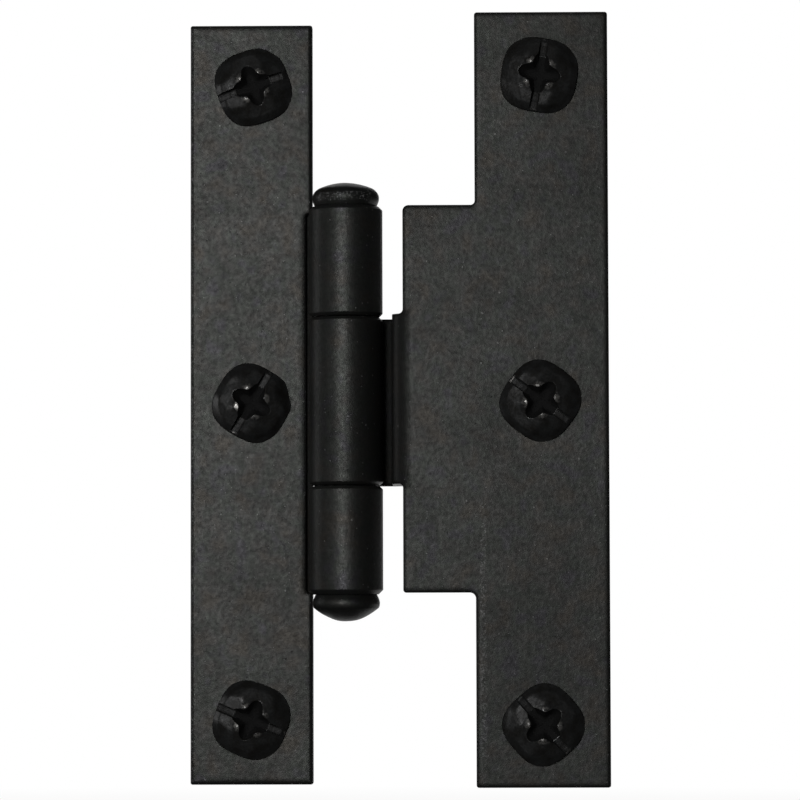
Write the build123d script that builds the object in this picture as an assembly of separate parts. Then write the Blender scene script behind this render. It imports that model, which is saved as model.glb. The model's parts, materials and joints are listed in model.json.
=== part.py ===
from build123d import *
import math
import os

# Offset cabinet hinge: two leaves stamped from sheet, rolled knuckles, a headed pin and six screws.
# Lengths are millimetres. +Z is up along the pin, -Y is the side that faces the room.
# The origin is the centre of the frame leaf's back face.

# Sheet steel that both leaves are stamped from
sheet = 1.9
leaf_height = 88.9
bend_inner = 0.25
hole_radius = 2.2
hole_from_end = 7.25

# Frame leaf, which lies on the cabinet's face frame
frame_leaf_width = 14.3
frame_corner = 0.25
frame_edge_round = 0.5
groove_depth = 0.9
groove_width = 0.78
groove_corner = 0.45
groove_shoulder = 0.22

# Door leaf, a strap with a wide middle, which lies on the door's face
door_offset = 9.525
door_strap_width = 15.3
middle_height = 44.45
strap_from_pin = 15.0
middle_from_pin = 6.7
door_corner = 0.3
door_edge_round = 0.35
upper_notch_corner = 0.5
lower_notch_corner = 0.7
upper_middle_corner = 0.7
lower_middle_corner = 0.35
tab_root_corner = 0.5

# Pin and the barrel of three knuckles around it
pin_radius = 2.33
pin_clearance = 0.05
barrel_past_top = 0.45
barrel_past_bottom = 0.15
centre_knuckle_length = 19.5
knuckle_gap = 0.1
leaf_to_knuckle = 0.41
barrel_to_wall = 1.17
seam_gap = 0.15
knuckle_gap_chamfer = 0.36
barrel_top_chamfer = 0.42
barrel_bottom_chamfer = 0.52
pin_head_radius = 3.9
pin_head_undercut = 0.35
pin_head_rim_height = 1.05
pin_head_bevel = 0.5
pin_head_bevel_height = 0.85
upper_crown_rise = 0.97
lower_crown_rise = 1.25

# Screws: square pyramid head with rounded, drooping corners, a slot and a cross recess
head_flats = 8.54
head_corner = 3.2
head_rim_height = 0.8
head_slope = 24.0
droop_slope = 40.0
droop_reach = 3.95
slot_width = 1.0
slot_floor = 0.62
recess_wing = 1.1
recess_reach = 2.55
recess_web = 1.45
recess_floor = 0.12
recess_floor_reach = 1.68
recess_floor_web = 0.7
neck_radius = 1.3
neck_past_leaf = 0.3
thread_radius = 1.75
thread_length = 9.7
point_length = 4.0
point_sides = 12

# Each screw's slot angle in degrees, and how far right and up it sits of its hole's centre
screw_seats = {
    "frame_screw_top": (20.0, 0.25, -0.1),
    "frame_screw_middle": (59.0, 0.07, 0.0),
    "frame_screw_bottom": (-22.0, 0.0, 0.25),
    "door_screw_top": (80.0, -0.2, -0.1),
    "door_screw_middle": (-37.0, -0.2, -0.35),
    "door_screw_bottom": (-48.0, 0.0, -0.1),
}

# How far a cutter runs past what it cuts, and how close two places are to count as one
cutter_margin = 1.0
near = 1e-3

# Places that follow from the sizes above
bore_radius = pin_radius + pin_clearance
knuckle_radius = bore_radius + sheet
bend_outer = bend_inner + sheet
edge_to_pin = math.sqrt(knuckle_radius**2 - bore_radius**2) + leaf_to_knuckle
frame_edge = frame_leaf_width / 2
pin_x = frame_edge + edge_to_pin
pin_y = -knuckle_radius
curl_lift = math.degrees(math.asin((knuckle_radius - sheet - seam_gap) / knuckle_radius))
middle_top = middle_height / 2
barrel_high = middle_top + barrel_past_top
barrel_low = -middle_top - barrel_past_bottom
centre_top = centre_knuckle_length / 2
gap_top = centre_top + knuckle_gap
wall_left = pin_x + knuckle_radius + barrel_to_wall
wall_right = wall_left + sheet
door_back = -door_offset
door_front = door_back - sheet
strap_left = pin_x + strap_from_pin
strap_right = strap_left + door_strap_width
middle_left = pin_x + middle_from_pin
door_screw_x = (strap_left + strap_right) / 2
end_screw_z = leaf_height / 2 - hole_from_end
screw_rows = {"top": end_screw_z, "middle": 0, "bottom": -end_screw_z}


def polar(centre, radius, angle):
    """Point at a radius and an angle in degrees from +X about a centre."""
    turn = math.radians(angle)
    return centre[0] + radius * math.cos(turn), centre[1] + radius * math.sin(turn)


def arc(centre, radius, start, end):
    """Arc about a centre from one angle to another, in degrees from +X."""
    middle = (start + end) / 2
    return ThreePointArc(*[polar(centre, radius, a) for a in (start, middle, end)])


def edges_facing(solid, axis, place):
    """Edges of a solid whose every point lies on a plane square to the axis."""
    return solid.edges().filter_by_position(axis, place - near, place + near)


def frame_knuckle_section():
    """Frame sheet seen along the pin: under the barrel, up its far side and back over the groove."""
    pin = (pin_x, pin_y)
    floor = -sheet + groove_depth
    start = frame_edge - groove_width
    step = pin_x - bore_radius - seam_gap
    end = -180 - curl_lift
    outline = (
        Line((start, 0), (pin_x, 0))
        + arc(pin, knuckle_radius, 90, end)
        + Line(polar(pin, knuckle_radius, end), polar(pin, bore_radius, end))
        + arc(pin, bore_radius, end, 90)
        + Polyline((pin_x, -sheet), (step, -sheet), (step, floor), (start, floor), (start, 0))
    )
    return make_face(outline)


def door_knuckle_section():
    """Door sheet seen along the pin: off the leaf, down the wall, under the barrel and round the pin."""
    pin = (pin_x, pin_y)
    upper = (wall_right + bend_inner, door_back + bend_inner)
    lower = (wall_left - bend_inner, -sheet - bend_inner)
    inside = upper[0] + sheet
    end = 360 + curl_lift
    outline = (
        Line((inside, door_front), (upper[0], door_front))
        + arc(upper, bend_outer, 270, 180)
        + Line((wall_left, upper[1]), (wall_left, lower[1]))
        + arc(lower, bend_inner, 0, 90)
        + Line((lower[0], -sheet), (pin_x, -sheet))
        + arc(pin, bore_radius, 90, end)
        + Line(polar(pin, bore_radius, end), polar(pin, knuckle_radius, end))
        + arc(pin, knuckle_radius, end, 90)
        + Line((pin_x, 0), (lower[0], 0))
        + arc(lower, bend_outer, 90, 0)
        + Line((wall_right, lower[1]), (wall_right, upper[1]))
        + arc(upper, bend_inner, 180, 270)
        + Polyline((upper[0], door_back), (inside, door_back), (inside, door_front))
    )
    return make_face(outline)


def knuckle(section, bottom, top, bottom_chamfer, top_chamfer):
    """One knuckle with its outer circle chamfered at both ends."""
    solid = extrude(Pos(0, 0, bottom) * section, top - bottom)
    for place, size in ((bottom, bottom_chamfer), (top, top_chamfer)):
        outer = edges_facing(solid, Axis.Z, place).filter_by(GeomType.CIRCLE)
        outer = outer.filter_by(lambda e: abs(e.radius - knuckle_radius) < near)
        solid = chamfer(outer, size)
    return solid


def screw_hole(x, z, back):
    """Round hole through a leaf, square to it."""
    plane = Plane((x, back + cutter_margin, z), x_dir=(1, 0, 0), z_dir=(0, -1, 0))
    return extrude(plane * Circle(hole_radius), sheet + 2 * cutter_margin)


def groove_tool():
    """Room that the coined groove takes along the barrel, flared where its shoulder rounds over."""
    left = frame_edge - groove_width
    right = frame_edge + groove_corner
    turn = left + groove_corner
    rim = -sheet - cutter_margin
    outline = Plane.XZ.offset(-rim) * Pos((left + right) / 2 + groove_corner, 0)
    block = extrude(
        outline * RectangleRounded(right - left + 2 * groove_corner, middle_height, groove_corner),
        -cutter_margin - groove_depth,
    )
    straight = middle_top - groove_corner
    lean = groove_corner * math.sqrt(0.5)
    path = (
        Line((right, -sheet, -middle_top), (turn, -sheet, -middle_top))
        + ThreePointArc(
            (turn, -sheet, -middle_top), (turn - lean, -sheet, -straight - lean), (left, -sheet, -straight)
        )
        + Line((left, -sheet, -straight), (left, -sheet, straight))
        + ThreePointArc(
            (left, -sheet, straight), (turn - lean, -sheet, straight + lean), (turn, -sheet, middle_top)
        )
        + Line((turn, -sheet, middle_top), (right, -sheet, middle_top))
    )
    out = -middle_top - groove_shoulder
    centre = Vector(right, groove_shoulder - sheet, out)
    lean = groove_shoulder * math.sqrt(0.5)
    flare = make_face(
        Polyline(
            (right, groove_shoulder - sheet, -middle_top),
            (right, rim, -middle_top),
            (right, rim, out),
            (right, -sheet, out),
        )
        + ThreePointArc(
            (right, -sheet, out),
            centre + Vector(0, -lean, lean),
            (right, groove_shoulder - sheet, -middle_top),
        )
    )
    return block + sweep(flare, path)


def frame_leaf():
    """Flat leaf with a coined groove along the barrel and two knuckles."""
    front = Plane((0, 0, 0), x_dir=(1, 0, 0), z_dir=(0, -1, 0))
    plate = extrude(front * RectangleRounded(frame_leaf_width, leaf_height, frame_corner), sheet)
    plate = fillet(edges_facing(plate, Axis.Y, -sheet), frame_edge_round)
    plate -= groove_tool()
    section = frame_knuckle_section()
    plate += knuckle(section, barrel_low, -gap_top, barrel_bottom_chamfer, knuckle_gap_chamfer)
    plate += knuckle(section, gap_top, barrel_high, knuckle_gap_chamfer, barrel_top_chamfer)
    for z in screw_rows.values():
        plate -= screw_hole(0, z, 0)
    return plate


def tab_root(side):
    """Metal that rounds the inside corner above or below the tab, as thick as the leaf's plate."""
    root = side * centre_top
    far = root + side * tab_root_corner
    lean = tab_root_corner * math.sqrt(0.5)
    centre = Vector(middle_left - tab_root_corner, door_back, far)
    outline = Polyline(
        (middle_left - tab_root_corner, door_back, root),
        (middle_left, door_back, root),
        (middle_left, door_back, far),
    ) + ThreePointArc(
        (middle_left, door_back, far),
        centre + Vector(lean, 0, -side * lean),
        (middle_left - tab_root_corner, door_back, root),
    )
    prism = extrude(make_face(outline), sheet, dir=(0, -1, 0))
    tall = centre_knuckle_length + 2 * tab_root_corner
    return prism & extrude(Pos(0, 0, -tall / 2) * door_knuckle_section(), tall)


def door_outline():
    """Front view of the door leaf without its tab, with the corner radii that the stamping has."""
    strap = Pos(door_screw_x, 0) * Rectangle(door_strap_width, leaf_height)
    middle = Pos((middle_left + strap_right) / 2, 0) * Rectangle(strap_right - middle_left, middle_height)
    outline = strap + middle
    end = leaf_height / 2
    radii = {
        (strap_left, end): door_corner,
        (strap_right, end): door_corner,
        (strap_left, -end): door_corner,
        (strap_right, -end): door_corner,
        (strap_left, middle_top): upper_notch_corner,
        (strap_left, -middle_top): lower_notch_corner,
        (middle_left, middle_top): upper_middle_corner,
        (middle_left, -middle_top): lower_middle_corner,
    }
    for (x, z), radius in radii.items():
        corner = outline.vertices().sort_by_distance((x, z, 0))[0]
        outline = fillet(corner, radius)
    return outline


def door_leaf():
    """Raised strap with a wide middle, whose tab bends down to the centre knuckle."""
    front = Plane((0, door_back, 0), x_dir=(1, 0, 0), z_dir=(0, -1, 0))
    plate = extrude(front * door_outline(), sheet)
    plate = fillet(edges_facing(plate, Axis.Y, door_front), door_edge_round)
    bend_start = wall_right + bend_inner
    plate -= Pos((middle_left + bend_start) / 2, door_back - sheet / 2, 0) * Box(
        bend_start - middle_left, sheet, centre_knuckle_length
    )
    leaf = plate + knuckle(
        door_knuckle_section(), -centre_top, centre_top, knuckle_gap_chamfer, knuckle_gap_chamfer
    )
    for side in (-1, 1):
        leaf += tab_root(side)
    for z in screw_rows.values():
        leaf -= screw_hole(door_screw_x, z, door_back)
    return leaf


def pin_head(seat, crown_rise):
    """Half outline of one head, outwards from its seat's height: undercut, bevel and spherical crown."""
    side = math.copysign(1, seat)
    rim = seat + side * pin_head_rim_height
    shoulder = pin_head_radius - pin_head_bevel
    shoulder_z = rim + side * pin_head_bevel_height
    crown = (shoulder**2 + crown_rise**2) / (2 * crown_rise)
    meet = side * math.degrees(math.asin((crown - crown_rise) / crown))
    return Polyline(
        (pin_radius, seat),
        (pin_head_radius - pin_head_undercut, seat),
        (pin_head_radius, rim),
        (shoulder, shoulder_z),
    ) + arc((0, shoulder_z + side * (crown_rise - crown)), crown, meet, side * 90)


def hinge_pin():
    """Pin made in one piece with a domed head at each end, seated on the barrel's ends."""
    head_side = pin_head_rim_height + pin_head_bevel_height
    low_tip = barrel_low - head_side - lower_crown_rise
    high_tip = barrel_high + head_side + upper_crown_rise
    outline = (
        pin_head(barrel_high, upper_crown_rise)
        + Line((pin_radius, barrel_low), (pin_radius, barrel_high))
        + pin_head(barrel_low, lower_crown_rise)
        + Line((0, low_tip), (0, high_tip))
    )
    return Pos(pin_x, pin_y, 0) * revolve(Plane.XZ * make_face(outline), Axis.Z)


def pyramid(slope, reach):
    """Square pyramid whose sides are a reach from the axis at the rim's height and lean by the slope."""
    lean = math.tan(math.radians(slope))
    base = reach + head_rim_height / lean
    profile = Plane.XZ * make_face(Polyline((-base, 0), (base, 0), (0, base * lean), close=True))
    roof = extrude(profile, base, both=True)
    return roof & (Rot(0, 0, 90) * roof)


def recess(top):
    """Cross recess: two bars whose ends slope in, and a square well set cornerwise that narrows."""
    depth = top - recess_floor
    outline = Polyline(
        (-recess_reach, top),
        (recess_reach, top),
        (recess_floor_reach, recess_floor),
        (-recess_floor_reach, recess_floor),
        close=True,
    )
    bar = extrude(Plane.XZ * make_face(outline), recess_wing / 2, both=True)
    widening = math.degrees(math.atan2(recess_web - recess_floor_web, depth))
    well = extrude(Rectangle(2 * recess_floor_web, 2 * recess_floor_web), depth, taper=-widening)
    return bar + Rot(0, 0, 90) * bar + Pos(0, 0, recess_floor) * Rot(0, 0, 45) * well


def screw():
    """Screw along Z with its head's seat at Z = 0 and its slot along X."""
    apex = head_rim_height + math.tan(math.radians(head_slope)) * head_flats / 2
    head = extrude(RectangleRounded(head_flats, head_flats, head_corner), apex)
    head &= pyramid(head_slope, head_flats / 2)
    head &= Rot(0, 0, 45) * pyramid(droop_slope, droop_reach)
    head -= Pos(0, 0, slot_floor + apex / 2) * Box(2 * head_flats, slot_width, apex)
    head -= recess(apex)
    neck = sheet + neck_past_leaf
    shank = Pos(0, 0, -neck / 2) * Cylinder(neck_radius, neck)
    thread = Pos(0, 0, -neck - thread_length / 2) * Cylinder(thread_radius, thread_length)
    thread_end = -neck - thread_length
    base = Pos(0, 0, thread_end) * RegularPolygon(thread_radius, point_sides)
    point = loft([base, Vertex(0, 0, thread_end - point_length)], ruled=True)
    return head + shank + thread + point


def placed_screw(name, x, z, back):
    """Screw with its head on a leaf's front face, turned and off centre as on the object."""
    angle, right, up = screw_seats[name]
    return Pos(x + right, back - sheet, z + up) * Rot(0, -angle, 0) * Rot(90, 0, 0) * screw()


os.makedirs("parts", exist_ok=True)
pieces = {"frame_leaf": frame_leaf(), "door_leaf": door_leaf(), "hinge_pin": hinge_pin()}
for row, z in screw_rows.items():
    pieces["frame_screw_" + row] = placed_screw("frame_screw_" + row, 0, z, 0)
    pieces["door_screw_" + row] = placed_screw("door_screw_" + row, door_screw_x, z, door_back)
for name, piece in pieces.items():
    export_step(piece, f"parts/{name}.step")
    print(name, round(piece.volume, 2), piece.is_valid)
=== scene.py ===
import json
import math
from collections import namedtuple

import bmesh
import bpy
import numpy as np
from mathutils import Matrix, Vector


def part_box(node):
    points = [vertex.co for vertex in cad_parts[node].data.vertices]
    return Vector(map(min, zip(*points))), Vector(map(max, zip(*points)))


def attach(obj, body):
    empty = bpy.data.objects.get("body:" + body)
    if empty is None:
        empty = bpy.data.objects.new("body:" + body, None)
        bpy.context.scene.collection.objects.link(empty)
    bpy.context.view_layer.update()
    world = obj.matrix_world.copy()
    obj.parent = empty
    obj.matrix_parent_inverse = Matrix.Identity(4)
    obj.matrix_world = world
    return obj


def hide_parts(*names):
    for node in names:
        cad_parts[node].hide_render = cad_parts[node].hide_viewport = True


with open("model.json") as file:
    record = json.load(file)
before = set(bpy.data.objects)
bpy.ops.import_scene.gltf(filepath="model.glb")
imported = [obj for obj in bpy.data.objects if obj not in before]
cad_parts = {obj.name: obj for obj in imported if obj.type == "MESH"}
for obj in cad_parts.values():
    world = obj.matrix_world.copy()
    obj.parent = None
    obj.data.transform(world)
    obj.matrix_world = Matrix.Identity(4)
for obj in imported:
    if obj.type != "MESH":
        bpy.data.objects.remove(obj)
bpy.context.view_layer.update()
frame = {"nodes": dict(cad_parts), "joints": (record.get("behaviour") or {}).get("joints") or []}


# Frame leaf: the low strap, stamped from 1.9 mm steel sheet with its two outer knuckles rolled
# from it, then powder coated satin black. It lies on the cabinet's face frame under three screws.

nodes = frame["nodes"]
pin_axis = frame["joints"][0]["pos_m"]
mm = 0.001


class Wiring:
    """Shader nodes of one material or world, added one named step at a time."""

    def __init__(self, tree):
        self.tree = tree

    def node(self, kind, **settings):
        """New shader node with its settings made."""
        made = self.tree.nodes.new("ShaderNode" + kind)
        for setting, value in settings.items():
            setattr(made, setting, value)
        return made

    def feed(self, socket, value):
        """Gives a socket a constant, or links an output to it."""
        if isinstance(value, bpy.types.NodeSocket):
            self.tree.links.new(value, socket)
        else:
            socket.default_value = value

    def calculate(self, operation, *values):
        """One step of arithmetic on one or two values."""
        made = self.node("Math", operation=operation)
        for socket, value in zip(made.inputs, values):
            self.feed(socket, value)
        return made.outputs["Value"]

    def product(self, first, *others):
        """All the values multiplied, one after another."""
        for other in others:
            first = self.calculate("MULTIPLY", first, other)
        return first

    def spread(self, value, low, high, to_low, to_high):
        """Maps the stretch from low to high onto another one and stops at its ends."""
        made = self.node("MapRange")
        for socket, given in zip(made.inputs, (value, low, high, to_low, to_high)):
            self.feed(socket, given)
        return made.outputs["Result"]

    def axes(self, vector):
        """X, Y and Z of a vector, to be picked by letter or number."""
        made = self.node("SeparateXYZ")
        self.feed(made.inputs["Vector"], vector)
        return made.outputs


class Finish(Wiring):
    """A material on Object coordinates, wired to its Principled shader."""

    def __init__(self, name):
        self.material = bpy.data.materials.new(name)
        self.material.use_nodes = True
        super().__init__(self.material.node_tree)
        self.shader = self.tree.nodes["Principled BSDF"]
        self.place = self.node("TexCoord").outputs["Object"]

    def noise(self, grain, detail=2.0, roughness=0.5):
        """Cloudy noise from 0 to 1 whose lumps are about a grain across, in metres."""
        made = self.node("TexNoise")
        self.feed(made.inputs["Vector"], self.place)
        self.feed(made.inputs["Scale"], 1 / grain)
        self.feed(made.inputs["Detail"], detail)
        self.feed(made.inputs["Roughness"], roughness)
        return made.outputs["Fac"]

    def vary(self, noise, low, high):
        """Noise as a value that wanders between two: most of it lies from 0.3 to 0.7."""
        return self.spread(noise, 0.3, 0.7, low, high)

    def between(self, share, start, end):
        """Value on the way from a start to an end, by a share from 0 to 1."""
        return self.spread(share, 0.0, 1.0, start, end)

    def mix(self, share, first, second, blend_type="MIX"):
        """Two colours mixed by a share. The node's colours are its sockets 6 and 7 and output 2."""
        made = self.node("Mix", data_type="RGBA", blend_type=blend_type)
        self.feed(made.inputs["Factor"], share)
        self.feed(made.inputs[6], first)
        self.feed(made.inputs[7], second)
        return made.outputs[2]

    def ramp(self, value, stops):
        """Colour ramp through (position, colour) stops."""
        made = self.node("ValToRGB")
        self.feed(made.inputs["Fac"], value)
        steps = made.color_ramp.elements
        while len(steps) < len(stops):
            steps.new(0.5)
        for step, (position, colour) in zip(steps, stops):
            step.position = position
            step.color = colour
        return made.outputs["Color"]

    def flecks(self, spacing, radius, share):
        """Scattered round dots: 1 in a dot and 0 outside, in a share of cells a spacing across."""
        cells = self.node("TexVoronoi", feature="F1")
        self.feed(cells.inputs["Vector"], self.place)
        self.feed(cells.inputs["Scale"], 1 / spacing)
        edge = radius / spacing
        dot = self.spread(cells.outputs["Distance"], edge * 0.6, edge, 1.0, 0.0)
        draw = self.node("SeparateColor")
        self.feed(draw.inputs["Color"], cells.outputs["Color"])
        return self.product(dot, self.calculate("LESS_THAN", draw.outputs["Red"], share))

    def inside(self, low, high, soft):
        """1 inside a box between two corners and 0 outside, with soft sides."""
        place = self.axes(self.place)
        sides = []
        for axis in range(3):
            middle = (low[axis] + high[axis]) / 2
            half = (high[axis] - low[axis]) / 2
            away = self.calculate("ABSOLUTE", self.calculate("SUBTRACT", place[axis], middle))
            sides.append(self.spread(away, half - soft, half + soft, 1.0, 0.0))
        return self.product(*sides)

    def relief(self, height, depth, edge=None):
        """Bump that stands up to a depth, in metres, where the height is 1. Where an edge radius
        is given, the piece's edges are lit as if they were rolled to it."""
        made = self.node("Bump")
        self.feed(made.inputs["Height"], height)
        self.feed(made.inputs["Distance"], depth)
        if edge is not None:
            rolled = self.node("Bevel", samples=8)
            self.feed(rolled.inputs["Radius"], edge)
            self.feed(made.inputs["Normal"], rolled.outputs["Normal"])
        self.feed(self.shader.inputs["Normal"], made.outputs["Normal"])


def grey(level, red=1.0, blue=1.0):
    """Colour of a grey level with its red and blue a little off."""
    return (level * red, level, level * blue, 1.0)


# Boxes in the part's own coordinates: a painted-shade box stands for the shade in a hollow that
# gets little light, so its gloss is cut by a share that fades over the soft side, and a worn edge
# has lost flakes of its coat.
PaintedShadeBox = namedtuple("PaintedShadeBox", "low high soft share")
WornEdge = namedtuple("WornEdge", "low high")
flake_soft_side = 0.05 * mm

# Radii to which edges are rolled: on the knuckles, on the leaves, and on the frame leaf's left
# edge, which the stamping left crisp. The knuckles' radius gives way to the leaves' over a stretch
# of distances from the pin, and the crisp one over a stretch of X.
knuckle_edge = 0.2 * mm
leaf_edge = 0.8 * mm
crisp_edge = 0.15 * mm
knuckle_reach = (4.4 * mm, 4.8 * mm)
crisp_reach = (-6.6 * mm, -5.8 * mm)


def powder_coat(name, level, gloss, shade_boxes, worn):
    """Satin black powder: a mottled grey level in drifting tints, with bright and dull specks, an
    orange-peel skin, edges rolled by the coat's own thickness and painted shade in the given
    boxes, where its gloss is cut."""
    coat = Finish(name)
    mottle = coat.noise(grain=0.5 * mm, detail=3.0, roughness=0.6)
    patch = coat.noise(grain=1.5 * mm, detail=2.0, roughness=0.6)
    drift = coat.noise(grain=2.4 * mm, detail=1.5)
    cloud = coat.noise(grain=9 * mm, detail=2.0)
    grit = coat.noise(grain=0.11 * mm, detail=1.0)
    small = coat.flecks(spacing=0.62 * mm, radius=0.1 * mm, share=0.3)
    large = coat.flecks(spacing=1.9 * mm, radius=0.16 * mm, share=0.3)
    bright = coat.calculate("MAXIMUM", small, large)
    dull = coat.flecks(spacing=0.9 * mm, radius=0.12 * mm, share=0.5)

    warm = grey(1.0, red=1.06, blue=0.9)
    plain = grey(1.0, blue=0.96)
    green = grey(1.0, red=0.94, blue=0.92)
    blue = grey(0.98, red=1.01, blue=1.06)
    tint = coat.ramp(drift, [(0.3, warm), (0.45, plain), (0.58, green), (0.7, blue)])

    shade = coat.product(
        coat.vary(mottle, 0.74, 1.26),
        coat.vary(cloud, 0.87, 1.13),
        coat.vary(patch, 0.86, 1.14),
        coat.between(bright, 0.6, 1.3),
        coat.between(dull, 1.0, 0.5),
    )
    # Painted shade: in each box the gloss is cut by the box's share.
    for low, high, soft, share in shade_boxes:
        shade = coat.product(coat.between(coat.inside(low, high, soft), 1.0, 1 - share), shade)
    coat.feed(coat.shader.inputs["Specular Tint"], coat.mix(1.0, tint, shade, "MULTIPLY"))
    coat.feed(coat.shader.inputs["Specular IOR Level"], gloss)
    coat.feed(coat.shader.inputs["Roughness"], coat.vary(mottle, 0.48, 0.42))

    ragged = coat.spread(coat.noise(grain=0.24 * mm, roughness=0.7), 0.54, 0.66, 0.0, 1.0)
    flaked = coat.product(ragged, coat.inside(worn.low, worn.high, flake_soft_side))
    ground = coat.mix(1.0, tint, grey(level), "MULTIPLY")
    ground = coat.mix(bright, ground, grey(level * 5))
    coat.feed(coat.shader.inputs["Base Color"], coat.mix(flaked, ground, grey(0.06)))

    skin = coat.calculate("ADD", coat.product(mottle, 0.8), coat.product(grit, 0.3))
    skin = coat.calculate("ADD", skin, coat.product(bright, 0.4))
    x = coat.axes(coat.place)["X"]
    from_pin = coat.calculate("ABSOLUTE", coat.calculate("SUBTRACT", x, pin_axis[0]))
    near_pin = coat.spread(from_pin, *knuckle_reach, knuckle_edge, leaf_edge)
    far_left = coat.spread(x, *crisp_reach, crisp_edge, leaf_edge)
    coat.relief(skin, 0.035 * mm, coat.calculate("MINIMUM", near_pin, far_left))
    return coat


def dress(leaf, coat):
    """Gives a leaf its coat in place of its plain colour."""
    leaf.data.materials.clear()
    leaf.data.materials.append(coat.material)


# Painted shade in the groove between the leaf and the barrel, and a lighter one on the leaf beside
# it.
groove_shade = PaintedShadeBox((0.0063, -0.0014, -0.0223), (0.0086, -0.0006, 0.0223), 0.05 * mm, 0.9)
groove_side_shade = PaintedShadeBox((0.0057, -0.003, -0.0223), (0.00625, -0.0018, 0.0223), 0.3 * mm, 0.55)
left_edge = WornEdge((-0.0072, -0.003, -0.0445), (-0.0068, 0.001, 0.0445))
frame_coat = powder_coat("frame_leaf_coat", 0.005, 0.32, [groove_shade, groove_side_shade], left_edge)
dress(nodes["frame_leaf"], frame_coat)


# Door leaf: the raised strap with the wide middle, one stamping of the same sheet whose tab bends
# down and rolls into the centre knuckle. It has the same powder coat and lies on the door under
# three screws.

# Painted shade on the tab's floor beside the barrel and in the tab's bend.
tab_floor_shade = PaintedShadeBox((0.0135, -0.0034, -0.0103), (0.01655, 0.001, 0.0103), 0.05 * mm, 0.85)
tab_bend_shade = PaintedShadeBox((0.01685, -0.012, -0.0103), (0.0187, -0.0085, 0.0103), 0.2 * mm, 0.6)
strap_edge = WornEdge((0.0266, -0.012, -0.044), (0.0273, -0.011, -0.012))
door_coat = powder_coat("door_leaf_coat", 0.0045, 0.29, [tab_floor_shade, tab_bend_shade], strap_edge)
dress(nodes["door_leaf"], door_coat)


# Hinge pin: turned from one steel rod, upset to a domed head at each end and coated with the
# leaves. It passes through the three knuckles and its heads seat on the barrel's ends.


def closed_mesh(name, points, faces, finish, **marks):
    """Piece from an array of points and quads, its marks kept as attributes: doubles are merged,
    empty quads dropped and faces turned outwards."""
    mesh = bpy.data.meshes.new(name)
    mesh.from_pydata(points.tolist(), [], faces.tolist())
    for mark, values in marks.items():
        mesh.attributes.new(mark, "FLOAT", "POINT").data.foreach_set("value", values)
    work = bmesh.new()
    work.from_mesh(mesh)
    bmesh.ops.remove_doubles(work, verts=work.verts, dist=1e-4 * mm)
    bmesh.ops.recalc_face_normals(work, faces=work.faces)
    work.to_mesh(mesh)
    work.free()
    mesh.shade_smooth()
    mesh.set_sharp_from_angle(angle=math.radians(38))
    mesh.materials.append(finish.material)
    piece = bpy.data.objects.new(name, mesh)
    bpy.context.scene.collection.objects.link(piece)
    return piece


def ring_faces(rows, columns):
    """Quads between the rings of a grid whose last column meets its first."""
    row, column = np.meshgrid(np.arange(rows - 1), np.arange(columns), indexing="ij")
    after = (column + 1) % columns
    corners = [row * columns + column, row * columns + after]
    corners += [corners[1] + columns, corners[0] + columns]
    return np.stack(corners, -1).reshape(-1, 4)


def waves(x, y, size, draw):
    """Smooth unevenness near -1 to 1: the sum of five sines of about a size, each at a drawn
    heading, phase and stretch."""
    total = np.zeros(np.broadcast(x, y).shape)
    for _ in range(5):
        heading, phase, stretch = draw.uniform(0, 2 * math.pi, 3)
        reach = 2 * math.pi / size * (0.7 + 0.1 * stretch)
        total += np.sin((x * math.cos(heading) + y * math.sin(heading)) * reach + phase)
    return total / 3


pin_low, pin_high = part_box("hinge_pin")
head_radius = (pin_high.x - pin_low.x) / 2
barrel_high = 22.675 * mm
barrel_low = -22.375 * mm
pin_radius = 2.33 * mm
seat_radius = 3.55 * mm
widest = 1.05 * mm
upper_corner = 0.6
upper_power = 2.1
lower_corner = 0.25
lower_power = 2.0
pin_columns = 96


def pin_profile(height, corner, power):
    """Radius and height of one head from its seat outwards. Below its widest line the radius
    swells by a sine, above it the outline is a superellipse up to a corner and a parabola from
    there to the tip."""
    flank = np.linspace(0, 1, 7)
    swell_radius = seat_radius + (head_radius - seat_radius) * np.sin(flank * math.pi / 2)
    rise = np.linspace(0, corner, 12)[1:]
    shoulder_radius = head_radius * (1 - rise**power) ** (1 / power)
    dome_radius = np.linspace(shoulder_radius[-1], 0, 15)[1:]
    dome_height = 1 - (1 - corner) * (dome_radius / shoulder_radius[-1]) ** 2
    radius = np.concatenate([[pin_radius], swell_radius, shoulder_radius, dome_radius])
    levels = np.concatenate([rise, dome_height])
    up = np.concatenate([[0], widest * flank, widest + (height - widest) * levels])
    return radius, up


def hinge_pin():
    """The pin as rings about its axis, from the lower dome up to the upper one. Waves make its
    heads slightly out of round and dent their tops."""
    out_of_round = 0.004
    dent_depth = 0.03 * mm
    dent_size = 3.2 * mm
    draw = np.random.default_rng(4)
    high_head = pin_high.z - barrel_high
    low_head = barrel_low - pin_low.z
    top_radius, top_height = pin_profile(high_head, upper_corner, upper_power)
    low_radius, low_height = pin_profile(low_head, lower_corner, lower_power)
    radius = np.concatenate([low_radius[::-1], top_radius])
    height = np.concatenate([barrel_low - low_height[::-1], barrel_high + top_height])
    turn = np.linspace(0, 2 * math.pi, pin_columns, endpoint=False)
    around, up = np.meshgrid(turn, height)
    out = np.repeat(radius[:, None], turn.size, 1)
    head = np.clip((np.abs(up) - barrel_high) / low_head, 0, 1)
    x = out * np.cos(around)
    y = out * np.sin(around)
    dent = waves(x, y + up, dent_size, draw)
    swell = 1 - out_of_round * head * (1 + waves(np.cos(around), np.sin(around), 2.0, draw))
    up = up - np.sign(up) * dent_depth * head * (1 + dent)
    points = np.stack([pin_axis[0] + x * swell, pin_axis[1] + y * swell, up], -1)
    return points.reshape(-1, 3), ring_faces(*up.shape)


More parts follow.
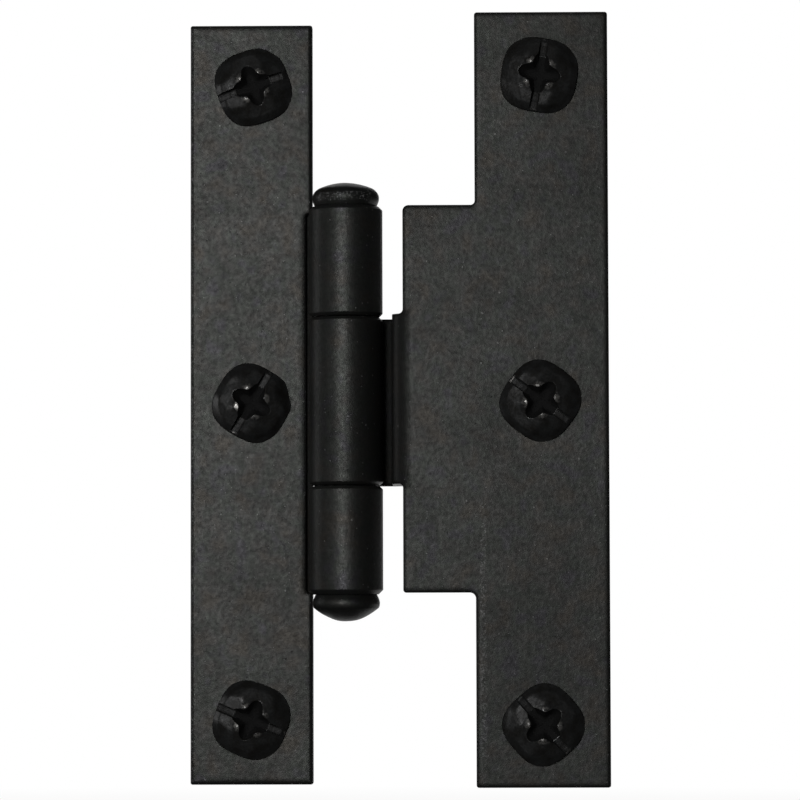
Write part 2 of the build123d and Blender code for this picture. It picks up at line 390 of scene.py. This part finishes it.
# Painted shadow of the barrel on the lower head's top, where the gloss is cut.
under_barrel_shadow = PaintedShadeBox((0.0, -0.02, -0.0231), (0.03, 0.02, -0.0222), 0.2 * mm, 0.6)
head_top = WornEdge((0.008, -0.009, 0.0232), (0.0142, -0.006, 0.0242))
pin_coat = powder_coat("hinge_pin_coat", 0.004, 0.32, [under_barrel_shadow], head_top)
pin = closed_mesh("hinge_pin_turned", *hinge_pin(), pin_coat)
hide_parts("hinge_pin")
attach(pin, "frame_side")


# Six wood screws, cold headed from steel wire and blackened: a square pyramid head with rounded,
# drooping corners, a slot across it and a punched cross recess, a plain neck and a rolled thread
# with a point.

# Each screw's slot angle and the heading at which its head stands higher, both in degrees, and
# how steeply: none was driven quite straight. Sizes of the screws are in millimetres.
driven = {
    "frame_screw_top": (20, 200, 0.08),
    "frame_screw_middle": (59, 190, 0.085),
    "frame_screw_bottom": (-22, 158, 0.08),
    "door_screw_top": (80, 262, 0.045),
    "door_screw_middle": (-37, 143, 0.03),
    "door_screw_bottom": (-48, 128, 0.025),
}
screw_length = 15.9
head_along = 4.27
head_across = 4.34
head_squareness = 2.75
head_highest = 2.26
rim_height = 0.8
rim_roll = 0.42
rim_shoulder = 0.82
facet_slope = 24
facet_blend = 0.07
corner_slope = 40
corner_reach = 3.95
slot_half = 0.5
slot_floor = 0.62
slot_blend = 0.04
recess_tip = 2.45
recess_web = 1.5
recess_floor_tip = 1.5
recess_floor_web = 0.8
recess_bottom = 0.2
neck_length = 2.2
neck_radius = 1.3
thread_pitch = 1.41
thread_crest = 1.75
thread_core = 1.15
thread_end = 11.9
fan_columns = 49
slot_columns = 11


def outline(angle):
    """Head seen along its axis: a superellipse, the power mean of its two half widths round the
    angle."""
    across = np.abs(np.sin(angle) / head_across) ** head_squareness
    along = np.abs(np.cos(angle) / head_along) ** head_squareness
    return (along + across) ** (-1 / head_squareness)


def star(angle, tip, web):
    """Cross recess: the radius falls from tip to web as the squared cosine of twice the angle."""
    return web + (tip - web) * np.abs(np.cos(2 * angle)) ** 2.0


def facets(x, y, lean):
    """Height of the head over a point: the lowest of eight planes, each leaning a little, blended
    where two of them meet."""
    rise = math.tan(math.radians(facet_slope))
    droop = math.tan(math.radians(corner_slope))
    planes = []
    for side in range(4):
        turn = side * math.pi / 2
        out = x * math.cos(turn) + y * math.sin(turn)
        planes.append(rim_height + (rise + lean[side]) * (head_along - out))
        turn += math.pi / 4
        out = x * math.cos(turn) + y * math.sin(turn)
        planes.append(rim_height + droop * (corner_reach + 3 * lean[side + 4] - out))
    return -facet_blend * np.log(np.sum(np.exp(-np.array(planes) / facet_blend), 0))


def rolled(x, y):
    """Share of the height that is left where the head's edge is rolled over: a power of the way
    from its shoulder to its rim."""
    share = np.hypot(x, y) / outline(np.arctan2(y, x))
    way = np.clip((share - rim_shoulder) / (1 - rim_shoulder), 0, 1)
    return 1 - rim_roll * way**1.4


def head_columns():
    """Inner and outer angle of each column round the head, whether it runs along the slot's
    floor, and how much painted shade the slot's walls cast on it, from 0 to 1, most beside the
    walls."""
    fan = np.linspace(0, 1, fan_columns)
    dense = np.linspace(0.1, 0.5, 400)
    inner_edge = np.interp(slot_half, star(dense, recess_tip, recess_web) * np.sin(dense), dense)
    outer_edge = math.asin(slot_half / head_along)
    knots = [0, 0.28, 0.5, 0.72, 1]
    marks = math.pi / 4 * np.array([1, 2, 3])
    inner = np.interp(fan, knots, [inner_edge, *marks, math.pi - inner_edge])
    outer = np.interp(fan, knots, [outer_edge, *marks, math.pi - outer_edge])
    slot = np.linspace(-0.96, 0.96, slot_columns)
    inner = np.concatenate([inner, math.pi + slot * inner_edge])
    outer = np.concatenate([outer, math.pi + slot * outer_edge])
    floor = np.arange(inner.size) >= fan_columns
    wall_shade = np.concatenate([np.zeros(fan_columns), 0.64 + 0.3 * np.abs(slot) ** 3])
    return (
        np.concatenate([inner, inner + math.pi]),
        np.concatenate([outer, outer + math.pi]),
        np.tile(floor, 2),
        np.tile(wall_shade, 2),
    )


def ring(radius, angle):
    """Points of a ring from a radius for each angle."""
    return np.stack([radius * np.cos(angle), radius * np.sin(angle)], -1)


def burrs(x, y, sizes):
    """Lens-shaped swellings where the punch pushed metal up beside the recess's four inner
    corners: bells a little out from a corner, wider along the recess's edge than across it."""
    total = np.zeros(x.shape)
    for corner, size in enumerate(sizes):
        turn = math.pi / 4 + corner * math.pi / 2
        out = x * math.cos(turn) + y * math.sin(turn) - recess_web - 0.3
        aside = y * math.cos(turn) - x * math.sin(turn)
        total += size * np.exp(-((out / 0.33) ** 2) - (aside / 0.55) ** 2)
    return total


def screw_head(seed, raised, tipped):
    """Rings of the head from the recess's bottom over its lip and the facets to the seat, in
    millimetres, with the angle of each column, how rubbed each point is and how much painted shade
    it gets.
    The head stands higher at the angle raised, by the slope tipped."""
    burr_height = 0.16
    dent_depth = 0.03
    dent_size = 2.4
    score_depth = 0.012
    score_size = 0.8
    draw = np.random.default_rng(seed)
    inner, outer, floor, wall_shade = head_columns()
    lean = draw.uniform(-0.03, 0.03, 8)
    burr = draw.uniform(0.5, 1.0, 4)
    hammered = int(draw.uniform(0, 1000))
    lip = ring(star(inner, recess_tip, recess_web), inner)
    lip[floor, 0] = np.sign(lip[floor, 0]) * (recess_tip - 0.3)
    edge = ring(outline(outer), outer)
    edge[floor, 1] = np.clip(edge[floor, 1], -slot_half, slot_half)
    well = ring(star(inner, recess_floor_tip, recess_floor_web), inner)

    def top(plan):
        """Height of the outside: tipped facets with burrs and hammer marks, or the slot's floor,
        which is scored along its length and runs out under the facets by a soft minimum."""
        x, y = plan[:, 0], plan[:, 1]
        tip = tipped * (x * math.cos(raised) + y * math.sin(raised))
        dents = waves(x, y, dent_size, np.random.default_rng(hammered))
        height = facets(x, y, lean) + tip + dent_depth * dents + burr_height * burrs(x, y, burr)
        height *= rolled(x, y)
        scores = waves(x, y / 3, score_size, np.random.default_rng(hammered + 1))
        cut = np.exp(-(slot_floor + score_depth * scores) / slot_blend)
        runout = -slot_blend * np.log(cut + np.exp(-(height - 0.03) / slot_blend))
        return np.where(floor, runout, np.minimum(height, head_highest))

    # Painted shade: full in the recess's bowl and fading up its walls toward the lip; on the slot's
    # floor it follows the walls; the facets, rim and seat get none.
    rows = []
    for share in np.linspace(0, 1, 6):
        bowl = np.full(inner.size, recess_bottom + 0.25 * share**2)
        rows.append((well * share, bowl, 1.0))
    base = rows[-1][1]
    for share in np.linspace(0.12, 0.97, 8):
        height = base + (top(lip) - 0.04 - base) * share**1.15
        rows.append((well + (lip - well) * share, height, 1 - share**8))
    across = np.concatenate(
        [[0, 0.006, 0.02, 0.045], np.linspace(0.08, 0.93, 30), [0.965, 0.985, 1]]
    )
    for share in across:
        plan = lip + (edge - lip) * share
        lip_round = np.where(floor, 0.0, 0.03 * np.exp(-share / 0.008))
        rim_round = 0.05 * np.exp(-(1 - share) / 0.008)
        rows.append((plan, top(plan) - lip_round - rim_round, wall_shade))
    rim = rows[-1][1]
    for grow, drop in ((1.004, 0.85), (1.006, 0.5), (1.004, 0.15), (0.99, 0.0)):
        rows.append((edge * grow, rim * drop, 0.0))
    seat = ring(np.full(outer.size, neck_radius), outer)
    for share in (0.8, 0.4, 0.0):
        rows.append((seat + (edge * 0.99 - seat) * share, np.zeros(outer.size), 0.0))
    plan = np.array([row[0] for row in rows])
    height = np.array([row[1] for row in rows])
    sunk = np.array([row[2] + np.zeros(inner.size) for row in rows])

    # The driver rubbed the burrs and the slot's two mouths
    rubbed = burrs(plan[..., 0], plan[..., 1], burr) * (height > slot_floor + 0.4) * (sunk == 0)
    mouths = np.where(plan[..., 0] > 0, *draw.uniform(0.15, 0.45, 2))
    reach = ((np.abs(plan[..., 0]) - 4.1) / 0.22) ** 2 + (plan[..., 1] / 0.6) ** 4
    rubbed += mouths * np.exp(-reach) * (height > 0.1)
    return np.concatenate([plan, height[..., None]], -1), outer, rubbed.ravel(), sunk.ravel()


def screw_thread(angle):
    """Rows along the thread's helix: each runs round the shank as it sinks by a pitch, so that
    crests are sharp lines. The radius is the core's plus a trapezium over each pitch, and both
    shrink to the point."""
    phases = np.array([0, 0.16, 0.32, 0.49, 0.55, 0.72, 0.86])
    tooth = [0, 0, 0, 1, 1, 0, 0]
    turns = math.ceil((screw_length - neck_length) / thread_pitch) + 2
    along = (np.arange(turns)[:, None] + phases).ravel()
    swing = (angle - angle[0]) / (2 * math.pi)
    depth = neck_length + np.clip(thread_pitch * (along[:, None] + swing - 1), 0, None)
    depth = np.minimum(depth, screw_length)
    stops = [neck_length, neck_length + 0.7, thread_end, screw_length]
    core = np.interp(depth, stops, [neck_radius, thread_core, thread_core, 0])
    crest = np.interp(depth, stops, [neck_radius, thread_crest, thread_crest, 0])
    radius = core + (crest - core) * np.tile(tooth, turns)[:, None]
    points = np.stack([radius * np.cos(angle), radius * np.sin(angle), -depth], -1)
    rows, columns = depth.shape
    row, column = np.meshgrid(
        np.arange(rows - 1 - phases.size), np.arange(columns), indexing="ij"
    )
    after = (column + 1) % columns
    shift = np.where(after == 0, phases.size, 0)
    corners = [row * columns + column, (row + shift) * columns + after]
    corners += [corners[1] + columns, corners[0] + columns]
    return points.reshape(-1, 3), np.stack(corners, -1).reshape(-1, 4)


def black_oxide(name):
    """Blackened steel, oiled: near black with faint streaks, with painted shade in the recess and
    beside the slot's walls, where the gloss is cut and the colour turns a flat grey, and bare metal
    where it is rubbed."""
    skin = Finish(name)
    mottle = skin.noise(grain=0.3 * mm, detail=3.0, roughness=0.6)
    blotch = skin.noise(grain=1.1 * mm, detail=2.0)
    grit = skin.noise(grain=0.09 * mm, detail=1.0)
    sunk = skin.node("Attribute", attribute_name="sunk").outputs["Fac"]
    rubbed = skin.node("Attribute", attribute_name="rubbed").outputs["Fac"]

    brown_black = grey(0.004, red=1.05, blue=0.9)
    blue_black = grey(0.007, red=0.95)
    recess_grey = grey(0.007)
    worn_steel = grey(0.11, red=1.03, blue=0.95)
    streaked = skin.mix(skin.spread(blotch, 0.35, 0.65, 0.0, 1.0), brown_black, blue_black)
    # Where the painted shade is strong, the streaks give way to a flat grey.
    deep = skin.mix(skin.spread(sunk, 0.5, 1.0, 0.0, 1.0), streaked, recess_grey)
    patchy = skin.product(rubbed, skin.spread(mottle, 0.38, 0.62, 0.3, 1.2))
    bare = skin.spread(patchy, 0.16, 0.7, 0.0, 1.0)
    skin.feed(skin.shader.inputs["Base Color"], skin.mix(bare, deep, worn_steel))
    skin.feed(skin.shader.inputs["Metallic"], skin.product(bare, 0.8))

    # Gloss is cut by the painted shade, and varied by the mottle and blotches.
    shine = skin.product(
        skin.spread(sunk, 0.0, 0.75, 1.0, 0.0),
        skin.vary(mottle, 0.72, 1.28),
        skin.vary(blotch, 0.8, 1.2),
    )
    skin.feed(skin.shader.inputs["Specular Tint"], shine)
    skin.feed(skin.shader.inputs["Specular IOR Level"], 0.31)
    skin.feed(skin.shader.inputs["Roughness"], skin.vary(mottle, 0.28, 0.4))
    skin.relief(skin.calculate("ADD", mottle, skin.product(grit, 0.3)), 0.02 * mm)
    return skin


oxide = black_oxide("screw_oxide")
for seed, (name, (turn, raised, tipped)) in enumerate(driven.items(), start=20):
    head, angle, rubbed, sunk = screw_head(seed, math.radians(raised - turn), tipped)
    thread, thread_faces = screw_thread(angle)
    head_points = head.reshape(-1, 3)
    last_ring = head_points.shape[0] - angle.size
    head_faces = ring_faces(head.shape[0], angle.size)
    joint_faces = ring_faces(2, angle.size) + last_ring
    faces = np.concatenate([head_faces, joint_faces, thread_faces + head_points.shape[0]])
    points = np.concatenate([head_points, thread])
    rubbed = np.concatenate([rubbed, np.zeros(len(thread))])
    sunk = np.concatenate([sunk, np.zeros(len(thread))])
    low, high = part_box(name)
    middle = (low + high) / 2
    tilt = math.radians(turn)
    across = points[:, 0] * math.cos(tilt) - points[:, 1] * math.sin(tilt)
    up = points[:, 0] * math.sin(tilt) + points[:, 1] * math.cos(tilt)
    depth = high.y - (screw_length + points[:, 2]) * mm
    placed = np.stack([middle.x + across * mm, depth, middle.z + up * mm], -1)
    piece = closed_mesh(name + "_wood_screw", placed, faces, oxide, rubbed=rubbed, sunk=sunk)
    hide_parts(name)
    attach(piece, "frame_side" if name.startswith("frame") else "door_side")


# Studio: a sheet of white paper that runs along the floor and curves up behind, in a dim room
# that looks white past the hinge, soft boxes in front, above and at the left, and a long lens a
# little under the hinge's middle.


def paper_sweep():
    """Floor, a quarter bend and a wall, the same profile carried along X."""
    floor_level = -0.062
    front = 0.04
    back = 0.75
    bend = 0.35
    top = 1.2
    half_width = 0.4
    turn = np.linspace(0, math.pi / 2, 24)
    y = np.concatenate([[front], back + bend * np.sin(turn), [back + bend]])
    z = np.concatenate([[floor_level], floor_level + bend * (1 - np.cos(turn)), [top]])
    x = np.array([-half_width, half_width])
    points = np.stack([np.repeat(x, y.size), np.tile(y, 2), np.tile(z, 2)], -1)
    step = np.arange(y.size - 1)
    faces = np.stack([step + y.size, step + 1 + y.size, step + 1, step], -1)
    mesh = bpy.data.meshes.new("paper")
    mesh.from_pydata(points.tolist(), [], faces.tolist())
    mesh.shade_smooth()
    sheet = bpy.data.objects.new("paper", mesh)
    bpy.context.scene.collection.objects.link(sheet)
    return sheet


def seen_and_mirrored(wiring):
    """1 for rays that the camera, a gloss or a clear body sends and 0 for the light that lands on
    things, and the same without the camera's rays."""
    path = wiring.node("LightPath").outputs
    mirrored = wiring.calculate("MAXIMUM", path["Is Glossy Ray"], path["Is Transmission Ray"])
    return wiring.calculate("MAXIMUM", path["Is Camera Ray"], mirrored), mirrored


def white_paper(name):
    """Matt white paper that looks pure white to the camera, but for the hinge's soft shadow near
    the middle. Its front edge, which lies close behind the hinge, doesn't show either."""
    white = Finish(name)
    white.feed(white.shader.inputs["Base Color"], grey(0.85))
    white.feed(white.shader.inputs["Roughness"], 0.9)
    away = white.node("VectorMath", operation="LENGTH")
    white.feed(away.inputs["Vector"], white.place)
    far = white.spread(away.outputs["Value"], 0.12, 0.4, 0.75, 1.0)
    front = white.spread(white.axes(white.place)["Y"], 0.05, 0.12, 1.0, 0.75)
    seen, _ = seen_and_mirrored(white)
    blend = white.node("MixShader")
    shade, matt, glow = blend.inputs
    white.feed(shade, white.product(seen, white.calculate("MAXIMUM", far, front)))
    white.feed(matt, white.shader.outputs["BSDF"])
    white.feed(glow, white.node("Emission").outputs["Emission"])
    surface = white.tree.nodes["Material Output"].inputs["Surface"]
    white.feed(surface, blend.outputs["Shader"])
    return white


paper = paper_sweep()
paper.data.materials.append(white_paper("studio_paper").material)

# The room is white where the camera looks, and for gloss only straight behind the paper. It
# lights the hinge and shows in its gloss at a dim level elsewhere.
dim_level = 0.06
straight_behind = 0.9
room = bpy.data.worlds.new("room")
bpy.context.scene.world = room
room.use_nodes = True
room_light = Wiring(room.node_tree)
seen, mirrored = seen_and_mirrored(room_light)
heading = room_light.axes(room_light.node("TexCoord").outputs["Generated"])
aside = room_light.calculate("LESS_THAN", heading["Y"], straight_behind)
white = room_light.calculate("SUBTRACT", seen, room_light.product(mirrored, aside))
background = room.node_tree.nodes["Background"]
background.inputs["Color"].default_value = grey(1.0)
room_light.feed(
    background.inputs["Strength"], room_light.spread(white, 0.0, 1.0, dim_level, 1.0)
)


def soft_box(name, place, width, height, watts):
    """Square lamp that faces the hinge's middle."""
    lamp = bpy.data.lights.new(name, "AREA")
    lamp.shape = "RECTANGLE"
    lamp.size = width
    lamp.size_y = height
    lamp.energy = watts
    box = bpy.data.objects.new(name, lamp)
    aim = (Vector((0.015, 0, 0)) - Vector(place)).to_track_quat("-Z", "Y")
    box.matrix_world = Matrix.Translation(place) @ aim.to_matrix().to_4x4()
    box.visible_camera = False
    bpy.context.scene.collection.objects.link(box)


soft_box("near_box", (-0.07, -0.45, 0.045), width=0.09, height=0.11, watts=1.4)
soft_box("high_box", (-0.2, -0.62, 0.28), width=0.2, height=0.13, watts=0.5)
soft_box("low_box", (-0.08, -0.58, -0.17), width=0.22, height=0.12, watts=0.2)
soft_box("top_box", (0, -0.3, 0.45), width=0.3, height=0.2, watts=0.04)
soft_box("side_box", (-0.07, -0.07, 0), width=0.03, height=0.07, watts=0.009)
soft_box("back_box", (-0.2, 0.06, 0.02), width=0.1, height=0.1, watts=0.075)

camera_data = bpy.data.cameras.new("camera")
camera_data.sensor_width = 36
camera_data.lens = 178.07
camera = bpy.data.objects.new("camera", camera_data)
camera_place = (0.024, -0.46347, -0.02437)
yaw, pitch, roll = (math.radians(value) for value in (0.824, 3.06, 0.15))
turned = Matrix.Rotation(yaw, 4, "Z") @ Matrix.Rotation(pitch, 4, "X")
turned = turned @ Matrix.Rotation(roll, 4, "Y")
upright = Matrix.Rotation(math.pi / 2, 4, "X")
camera.matrix_world = Matrix.Translation(camera_place) @ turned @ upright
bpy.context.scene.collection.objects.link(camera)
bpy.context.scene.camera = camera
bpy.context.scene.view_settings.view_transform = "Standard"
